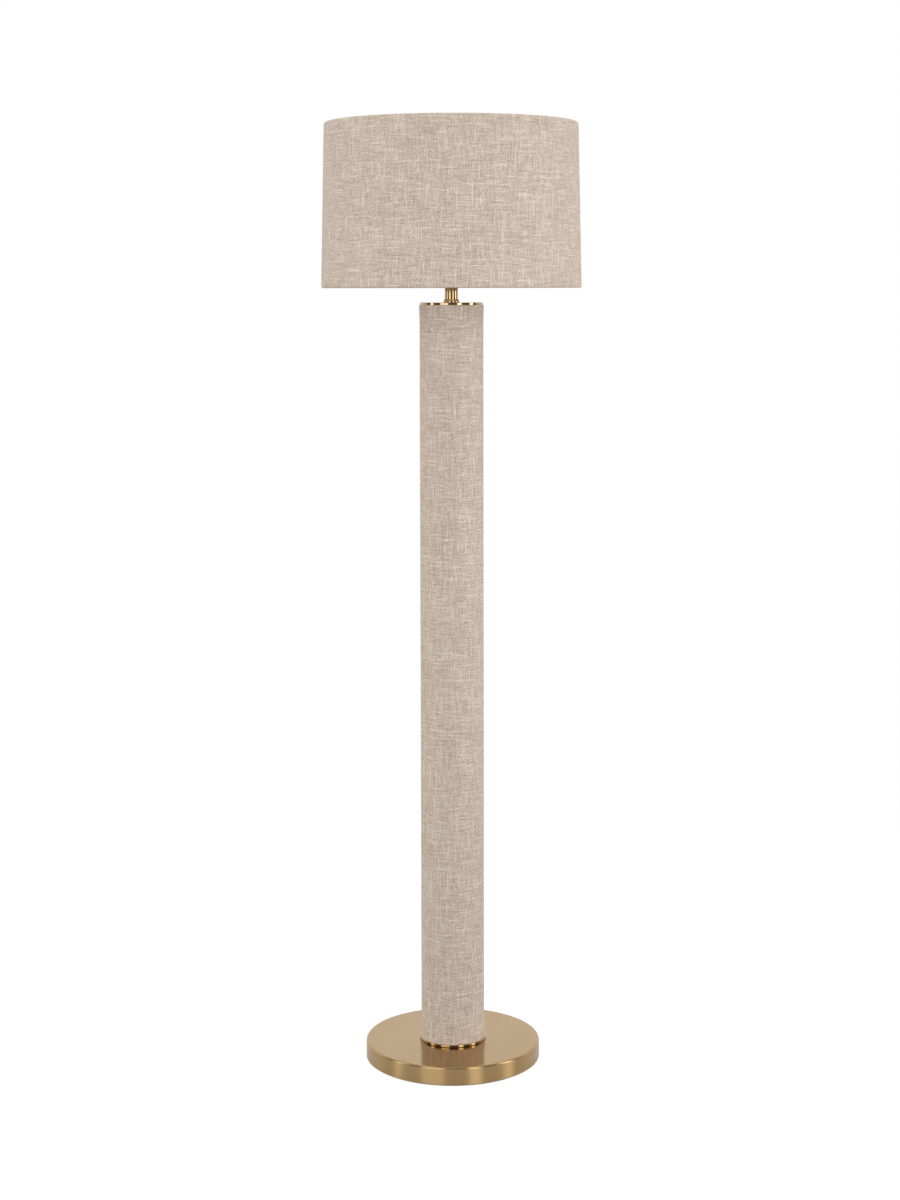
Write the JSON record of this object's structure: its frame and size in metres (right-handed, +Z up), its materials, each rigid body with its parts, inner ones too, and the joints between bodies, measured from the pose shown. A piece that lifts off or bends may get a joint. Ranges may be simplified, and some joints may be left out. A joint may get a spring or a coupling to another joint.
{
  "type": "column floor lamp",
  "caption": "Floor lamp: a linen-covered column on a round brass base, with a matching linen drum shade on a short brass neck.",
  "frame": {"origin": "on the floor, under the middle of the base", "axes": "+Z up; the front faces -Y and the cord inlet is at the back, at +Y"},
  "size_m": [0.4398, 0.4398, 1.5999],
  "materials": {
    "linen": "undyed linen-look plain weave with slubs, in warm oatmeal",
    "lining": "matt white stiffening sheet behind the cloth",
    "satin_brass": "satin antique brass, lacquered",
    "polished_brass": "polished antique brass, lacquered",
    "holder_brass": "plain brass, turned",
    "contact_brass": "bare pressed brass",
    "zinc_steel": "zinc-plated steel",
    "iron": "sand-cast, painted black",
    "foam": "black closed-cell foam rubber",
    "black_rubber": "black moulded rubber",
    "black_plastic": "black moulded plastic",
    "tube_card": "spiral-wound card",
    "plywood": "birch plywood",
    "porcelain": "white unglazed porcelain",
    "white_wire": "white powder-coated steel wire",
    "solder": "solder",
    "black_glass": "black vitreous insulator",
    "nickel": "nickel-plated brass",
    "bulb_plastic": "white moulded plastic",
    "opal": "opal diffusing glass"
  },
  "bodies": {
    "stand": {"floor_pad": "foam", "base_plate": "zinc_steel", "plate_screws": "zinc_steel", "base_weight": "iron", "base_cover": "satin_brass", "cord_bush": "black_rubber", "tie_rod": "zinc_steel", "base_washer": "zinc_steel", "base_nut": "zinc_steel", "foot_ring": "polished_brass", "foot_plug": "plywood", "column_tube": "tube_card", "column_linen": "linen", "head_plug": "plywood", "column_cap": "polished_brass", "column_washer": "zinc_steel", "column_nut": "zinc_steel", "neck_tube": "polished_brass", "neck_collar": "polished_brass", "lock_washer": "zinc_steel", "holder_cap": "holder_brass", "grub_screw": "zinc_steel", "holder_body": "holder_brass", "contact_block": "porcelain", "screw_shell": "contact_brass", "centre_contact": "contact_brass", "contact_rivet": "contact_brass", "terminals": "contact_brass", "terminal_screws": "zinc_steel", "lower_shade_ring": "holder_brass"},
    "shade": {"carrier_ring": "white_wire", "carrier_arms": "white_wire", "shade_bottom_wire": "white_wire", "shade_top_wire": "white_wire", "shade_lining": "lining", "shade_linen": "linen"},
    "shade_clamp": {"clamp_ring": "holder_brass"},
    "bulb": {"bulb_contact": "solder", "bulb_insulator": "black_glass", "bulb_cap": "nickel", "bulb_body": "bulb_plastic", "bulb_glass": "opal"},
    "switch": {"switch_bar": "holder_brass", "switch_knobs": "black_plastic"}
  },
  "joints": [
    {"name": "shade_turn", "type": "hinge", "parent": "stand", "child": "shade", "pos_m": [0, 0, 1.371], "axis": [0, 0, 1], "continuous": true},
    {"name": "clamp_ring_turn", "type": "hinge", "parent": "stand", "child": "shade_clamp", "pos_m": [0, 0, 1.3758], "axis": [0, 0, 1], "continuous": true},
    {"name": "bulb_lift", "type": "slide", "parent": "stand", "child": "bulb", "axis": [0, 0, 1], "range_m": [0, 0.24]},
    {"name": "switch_push", "type": "slide", "parent": "stand", "child": "switch", "axis": [1, 0, 0], "range_m": [0, 0.006]}
  ]
}
